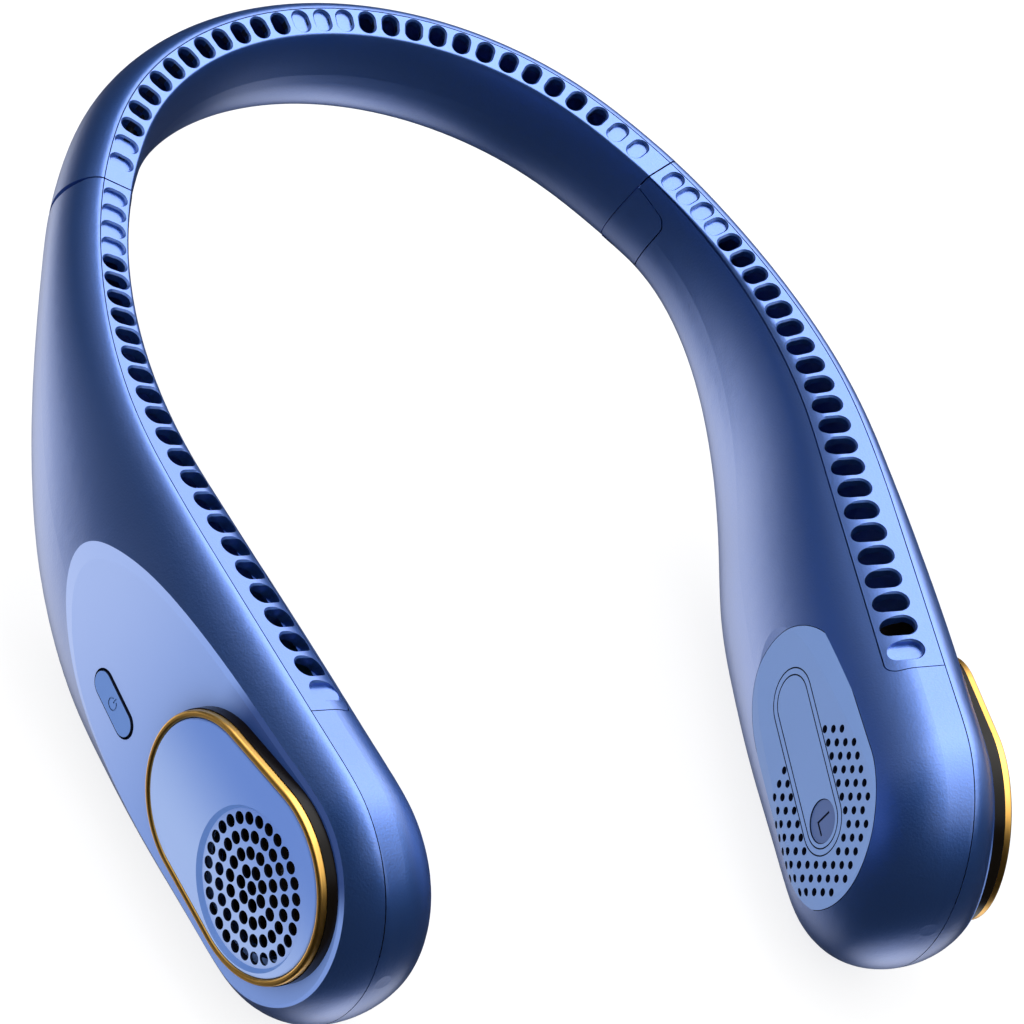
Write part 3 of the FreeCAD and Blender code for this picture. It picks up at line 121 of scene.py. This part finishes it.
for glow in glows.values():
    way = cameraAxes @ Vector(glow["way"]).normalized()
    facing = addNode(tree, "VectorMath", {1: way}, {0: ray}, operation="DOT_PRODUCT").outputs["Value"]
    reach = {"From Min": surround[glow["edge"]], "From Max": surround["full"], "To Max": glow["level"]}
    soft = addNode(tree, "MapRange", reach, {"Value": facing}, interpolation_type="SMOOTHSTEP").outputs[0]
    others = {} if mirrored is None else {1: mirrored}  # the first glow is added to the dim room
    mirrored = addNode(tree, "Math", {1: surround["room"]}, {0: soft, **others}, operation="ADD").outputs[0]
level = addNode(tree, "Mix", {"A": surround["even"]},
                {"Factor": path["Is Glossy Ray"], "B": mirrored}).outputs[0]
plain = addNode(tree, "Math", links={0: path["Is Camera Ray"], 1: path["Is Transmission Ray"]},
                operation="MAXIMUM").outputs[0]
level = addNode(tree, "Mix", {"B": surround["seen"]}, {"Factor": plain, "A": level}).outputs[0]
light = addNode(tree, "Background", {"Color": linear("#ffffff")}, {"Strength": level})
addNode(tree, "OutputWorld", links={"Surface": light.outputs[0]})
world.cycles.sampling_method = "NONE"  # keeps the even light and the reflected glows apart
scene.world = world

# floor: a white sheet that the eye sees with the fan's soft shadow on it
floorSheet = {"size": 6.0, "glow": 0.79, "paper": "#989898"}
bpy.ops.mesh.primitive_plane_add(size=floorSheet["size"], location=(0, 0, 0))
floor = bpy.context.active_object
floor.name = "floorSheet"
floor.visible_glossy = False
floor.visible_diffuse = False
floorMaterial = newMaterial("white_paper_sweep")
tree = floorMaterial.node_tree
shine = addNode(tree, "Emission", {"Color": linear("#ffffff"), "Strength": floorSheet["glow"]})
paper = addNode(tree, "BsdfDiffuse", {"Color": linear(floorSheet["paper"])})
shown = addNode(tree, "AddShader", links={0: shine.outputs[0], 1: paper.outputs[0]})
addNode(tree, "OutputMaterial", links={"Surface": shown.outputs[0]})
floor.data.materials.append(floorMaterial)
print("stage set: camera, lamps, surround, floor")

# moulded plastics: colour that clouds a little, a spark-eroded grain, and roughness that wanders with it
# the real grain is about 0.1 mm, and is drawn coarser so that it shows
mould = {"cloudMm": 22.22, "cloudDetail": 3, "cloudInShadeRamp": 0.12, "grainDetail": 2, "grainDepth": 0.0002}
clearCoat = {"Coat Roughness": 0.3, "Coat IOR": 1.92}
plastics = {
    # satin metallic blue paint on ABS, clear coated: deep navy in shade, pale lavender where it meets a light
    "shell": {"name": "satin_blue_painted_abs", "base": "#386fcb", "cloud": "#346bc4", "rough": (0.40, 0.46),
              "grainMm": 0.45, "grain": 0.3, "specular": 0.5, "metallic": 0.9, "coat": 1.0},
    # smoother and paler lacquer of the side panels; painted shade: deeper towards the lid along a ramp to the
    # cloud colour, and a painted navy shade at the upper front corner
    "panel": {"name": "pale_blue_lacquered_abs_with_painted_shade", "base": "#abc2fa", "cloud": "#7699e4", "rough": (0.36, 0.40),
              "grainMm": 0.5, "grain": 0.02, "specular": 0.5, "shadeRamp": ("Y", -0.012, -0.072),
              "corner": {"colour": "#2c4a8c", "Y": (-0.056, -0.066), "Z": (0.041, 0.048)}},
    # the lid's lacquer; painted shade: pale below and deeper towards its top, along a ramp to the cloud
    # colour
    "lid": {"name": "pale_blue_lacquered_lid_with_painted_shade", "base": "#a6c0f6", "cloud": "#5f86d8", "rough": (0.34, 0.38),
            "grainMm": 0.5, "grain": 0.02, "specular": 0.5, "shadeRamp": ("Z", 0.022, 0.047)},
    # the button's lacquer: smooth, and darker than the panel round it; also painted shade on the lid's dish
    # slope
    "button": {"name": "blue_lacquered_button_and_painted_dish_shade", "base": "#668ed8", "cloud": "#628ad2", "rough": (0.34, 0.38),
               "grainMm": 0.5, "grain": 0.02, "specular": 0.5},
    # bare matt ABS of the pad against the neck: even, with no sharp highlight
    "pad": {"name": "matt_blue_abs_pad", "base": "#7b9ad4", "cloud": "#7796ce", "rough": (0.55, 0.6),
            "grainMm": 0.5, "grain": 0.05, "specular": 0.3},
    # satin ABS of the side-mark disc: darker than the pad
    "disc": {"name": "satin_blue_disc_abs", "base": "#4a659f", "cloud": "#466099", "rough": (0.42, 0.48),
             "grainMm": 0.5, "grain": 0.03, "specular": 0.4},
    # bare navy ABS deep in holes, grooves and seams, drawn almost black: painted shade in the depths
    "recess": {"name": "navy_abs_and_painted_shade_in_holes", "base": "#0b1328", "cloud": "#0d1630", "rough": (0.6, 0.7),
               "grainMm": 0.5, "grain": 0.03, "specular": 0.2},
    # dark PC and ABS blend of the spacer and the fan: brownish black with a dim sheen
    "dark_plastic": {"name": "dark_moulded_pc_abs", "base": "#0e0a07", "cloud": "#140f0a",
                     "rough": (0.2, 0.26), "grainMm": 0.6, "grain": 0.02, "specular": 0.15},
    # pressed and sintered ferrite: dull grey and grainy
    "magnet": {"name": "sintered_ferrite", "base": "#2a2a2c", "cloud": "#323234", "rough": (0.5, 0.62),
               "grainMm": 0.6, "grain": 0.2, "specular": 0.4},
    # shrunk PVC film: smooth green with a soft shine
    "cell": {"name": "pvc_cell_wrap", "base": "#2f7a4a", "cloud": "#2b7044", "rough": (0.3, 0.36),
             "grainMm": 1.0, "grain": 0.03, "specular": 0.5},
    # solder mask on glass fibre: dark green, slightly cloudy
    "board": {"name": "green_solder_mask", "base": "#1d5b33", "cloud": "#2a6c3e", "rough": (0.3, 0.4),
              "grainMm": 0.8, "grain": 0.06, "specular": 0.5},
    # extruded PVC: soft black
    "wire": {"name": "pvc_wire_sheath", "base": "#1c1c1e", "cloud": "#242426", "rough": (0.4, 0.5),
             "grainMm": 0.8, "grain": 0.04, "specular": 0.4},
}
finishes = {}
for slot, look in plastics.items():
    finishes[slot] = newMaterial(look["name"])
    tree = finishes[slot].node_tree
    place = addNode(tree, "TexCoord").outputs["Object"]
    clouds = addNode(tree, "TexNoise", {"Scale": 1000 / mould["cloudMm"], "Detail": mould["cloudDetail"]},
                     {"Vector": place}).outputs[0]
    grain = addNode(tree, "TexNoise", {"Scale": 1000 / look["grainMm"], "Detail": mould["grainDetail"]},
                    {"Vector": place}).outputs[0]
    if "shadeRamp" in look:  # painted shade: the second colour comes in along one axis
        axis, start, end = look["shadeRamp"]
        along = addNode(tree, "SeparateXYZ", links={0: place}).outputs[axis]
        across = addNode(tree, "MapRange", {"From Min": start, "From Max": end}, {"Value": along},
                         interpolation_type="SMOOTHSTEP").outputs[0]
        clouds = addNode(tree, "Mix", {"Factor": mould["cloudInShadeRamp"]}, {"A": across, "B": clouds}).outputs[0]
    colour = addNode(tree, "Mix", {"A": linear(look["base"]), "B": linear(look["cloud"])}, {"Factor": clouds},
                     data_type="RGBA").outputs["Result"]
    if "corner" in look:  # painted shade: the panel's upper front corner above the lid turns navy
        corner = look["corner"]
        axes = addNode(tree, "SeparateXYZ", links={0: place}).outputs
        parts = [addNode(tree, "MapRange", {"From Min": corner[axis][0], "From Max": corner[axis][1]},
                         {"Value": axes[axis]}, interpolation_type="SMOOTHSTEP") for axis in ("Y", "Z")]
        share = addNode(tree, "Math", links={0: parts[0].outputs[0], 1: parts[1].outputs[0]},
                        operation="MULTIPLY").outputs[0]
        colour = addNode(tree, "Mix", {"B": linear(corner["colour"])}, {"Factor": share, "A": colour},
                         data_type="RGBA").outputs["Result"]
    low, high = look["rough"]
    rough = addNode(tree, "MapRange", {"To Min": low, "To Max": high}, {"Value": grain})
    bump = addNode(tree, "Bump", {"Strength": look["grain"], "Distance": mould["grainDepth"]},
                   {"Height": grain})
    skin = addNode(tree, "BsdfPrincipled",
                   {"Specular IOR Level": look["specular"], "Metallic": look.get("metallic", 0),
                    "Coat Weight": look.get("coat", 0), **clearCoat},
                   {"Base Color": colour, "Roughness": rough.outputs[0], "Normal": bump.outputs[0]})
    addNode(tree, "OutputMaterial", links={"Surface": skin.outputs[0]})

# metals: colour and roughness vary faintly, in spots of a real size or, on the ring, in wide polishing marks
metalDetail = 2
metals = {
    # electroplated trim ring, polished: amber in shade and near white in the light
    "gilt_ring": {"name": "polished_gold_plate", "base": "#f2b858", "cloud": "#f6c26a", "rough": (0.30, 0.34),
                  "grainMm": 6.0},
    # sintered bronze of the bearing: brown, matt and speckled
    "bronze": {"name": "sintered_bronze", "base": "#a9713d", "cloud": "#b98250", "rough": (0.35, 0.45),
               "grainMm": 0.6},
    # ground steel of pins, shaft, screws and hinge leaves: cool grey, bright where it catches a light
    "steel": {"name": "ground_steel", "base": "#b9bcc0", "cloud": "#a9adb2", "rough": (0.22, 0.32),
              "grainMm": 0.6},
}
for slot, look in metals.items():
    finishes[slot] = newMaterial(look["name"])
    tree = finishes[slot].node_tree
    place = addNode(tree, "TexCoord").outputs["Object"]
    grain = addNode(tree, "TexNoise", {"Scale": 1000 / look["grainMm"], "Detail": metalDetail},
                    {"Vector": place}).outputs[0]
    colour = addNode(tree, "Mix", {"A": linear(look["base"]), "B": linear(look["cloud"])}, {"Factor": grain},
                     data_type="RGBA").outputs["Result"]
    low, high = look["rough"]
    rough = addNode(tree, "MapRange", {"To Min": low, "To Max": high}, {"Value": grain})
    skin = addNode(tree, "BsdfPrincipled", {"Metallic": 1},
                   {"Base Color": colour, "Roughness": rough.outputs[0]})
    addNode(tree, "OutputMaterial", links={"Surface": skin.outputs[0]})
print("finishes made:", len(finishes))

# which finish each CAD node wears, by the end of its name
wears = {
    "outer_shell": "shell", "inner_shell": "shell", "vent_grille": "shell", "hinge_flap": "shell",
    "side_panel": "panel", "intake_cap": "lid", "power_button": "button", "inner_pad": "pad",
    "pad_inlay": "pad", "mark_disc": "disc", "cap_ring": "gilt_ring", "cap_standoff": "dark_plastic",
    "fan_housing": "dark_plastic", "impeller": "dark_plastic", "tact_switch": "dark_plastic",
    "magnet_ring": "magnet", "motor_stator": "magnet", "motor_bearing": "bronze", "motor_shaft": "steel",
    "fan_screws": "steel", "hinge_pin": "steel", "hinge_leaf": "steel", "charging_socket": "steel",
    "battery_cell": "cell", "control_board": "board", "neck_wiring": "wire",
}
for name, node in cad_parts.items():
    finish = next(wears[end] for end in wears if name.endswith(end))
    node.data.materials.clear()
    node.data.materials.append(finishes[finish])

# faces that wear another finish than the rest of their piece, most of them painted shade in holes, grooves
# and seams: told by their level in mm along a normal of the left arm, which the right arm mirrors, and by how
# squarely they face it
facet, padWay = (0.979362, -0.181514, 0.088894), (-0.984600, 0.113900, 0.132300)
anyFacing = (-1.1, 1.1)
# seam walls: bare ABS drawn almost black, painted shade between the shells
seamWalls = {"way": (0, 0, 1), "levels": (-99, 99), "finish": "recess", "facing": (-0.0001, 0.0001),
             "behind": -0.108}  # the walls are upright, as the pods' tips are, which this leaves out
otherFaces = {
    "outer_shell": [seamWalls],
    "inner_shell": [seamWalls],
    # walls round the button and the intake, in painted shade
    "side_panel": [{"way": facet, "levels": (0, 99), "finish": "recess", "facing": (-0.3, 0.3)}],
    # the button's sides and rounded edge, in painted shade
    "button": [{"way": facet, "levels": (0, 99), "finish": "recess", "facing": (-0.3, 0.9)}],
    # walls of the drilled holes in painted shade, and the dish's slope in the button's darker lacquer as
    # painted shade
    "intake_cap": [{"way": facet, "levels": (0, 91.2), "finish": "recess", "facing": anyFacing},
                   {"way": facet, "levels": (91.3, 91.9), "finish": "button", "facing": (0.5, 0.7)}],
    # perforations, the inlay's groove and the disc's seat, in painted shade
    "inner_pad": [{"way": padWay, "levels": (-60, -50.4), "finish": "recess", "facing": (-1, 0.3)},
                  {"way": padWay, "levels": (-51.1, -50.8), "finish": "recess", "facing": (0.9999, 1.1)}],
    # grooves of the inlay's frame, and the sunk mark, in painted shade
    "pad_inlay": [{"way": padWay, "levels": (-60, -50.4), "finish": "recess", "facing": anyFacing}],
    "mark_disc": [{"way": padWay, "levels": (-60, -50.6), "finish": "recess", "facing": anyFacing}],
    # floor behind the pad, in painted shade
    "arm_inner_shell": [seamWalls, {"way": padWay, "levels": (-51.6, -51.5), "finish": "recess",
                                    "facing": (0.99995, 1.1)}],
}
for name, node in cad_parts.items():
    side, _, piece = name.partition("_")
    if piece == "inner_shell" and side != "neck":
        piece = "arm_inner_shell"
    for rule in otherFaces.get(piece, []):
        way = Vector(rule["way"])
        way.x *= 1 if side == "left" else -1
        low, high = rule["levels"]
        least, most = rule["facing"]
        behind = rule.get("behind", -1)  # a metre in front, so all of the fan, unless the rule says
        slots = list(node.data.materials)
        if finishes[rule["finish"]] not in slots:
            slots.append(finishes[rule["finish"]])
            node.data.materials.append(slots[-1])
        for face in node.data.polygons:
            inLevels = low <= face.center.dot(way) * 1000 <= high
            if inLevels and least <= face.normal.dot(way) <= most and face.center.y > behind:
                face.material_index = slots.index(finishes[rule["finish"]])
print("finishes put on all nodes")
